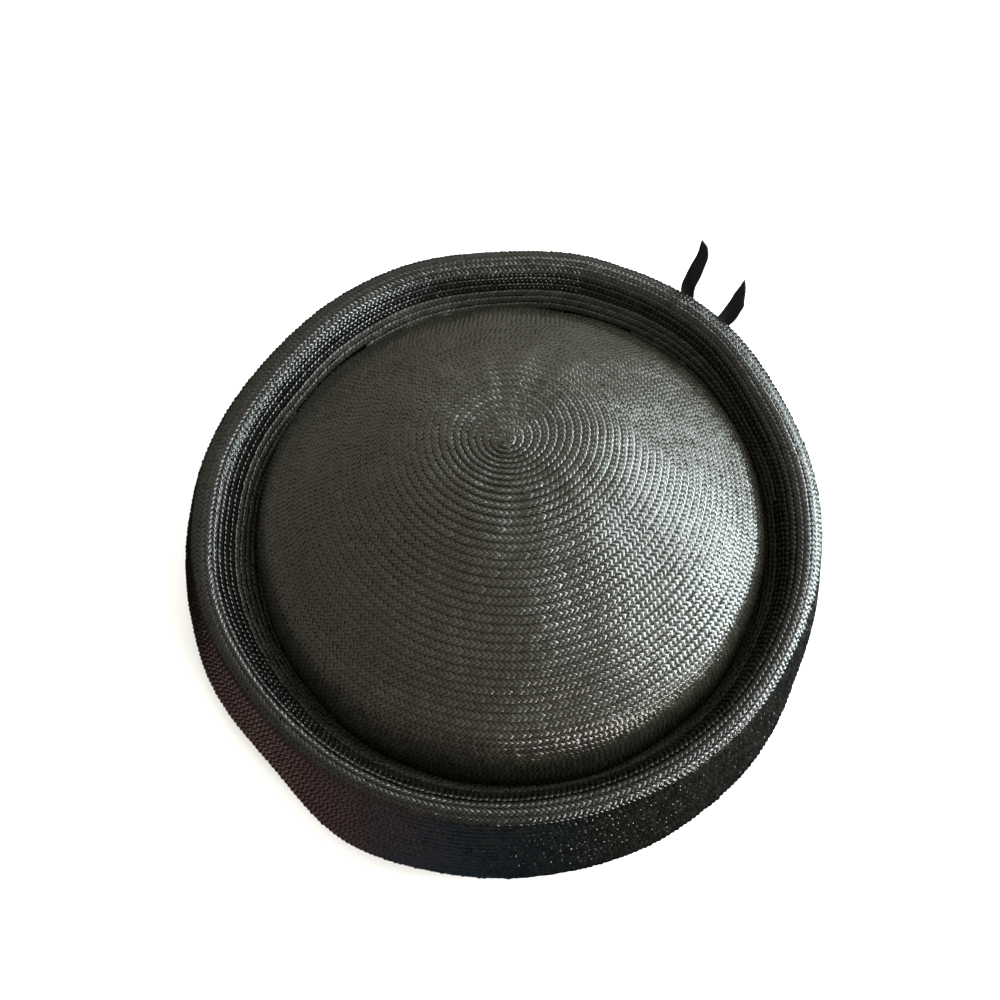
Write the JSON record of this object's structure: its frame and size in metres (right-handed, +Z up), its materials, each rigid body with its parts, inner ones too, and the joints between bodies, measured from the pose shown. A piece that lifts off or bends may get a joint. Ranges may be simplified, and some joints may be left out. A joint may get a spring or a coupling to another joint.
{
  "type": "small turned-up braid hat",
  "caption": "Small round hat of sewn straw braid with a blunt cone of a crown, a deep rolled-up brim around it, and two cut ribbon ends standing behind.",
  "frame": {"origin": "on the surface that the hat rests on, under the middle of its outline", "axes": "+Z up through the crown, -Y to the front, ribbon at the back right (+X +Y)"},
  "size_m": [0.2414, 0.2407, 0.094],
  "materials": {
    "straw_braid": "glossy black synthetic straw, plaited and sewn in rows",
    "ribbon": "black satin"
  },
  "bodies": {
    "root": {"crown": "straw_braid", "brim": "straw_braid", "ribbon_knot": "ribbon", "ribbon_tail_left": "ribbon", "ribbon_tail_right": "ribbon"}
  },
  "joints": []
}
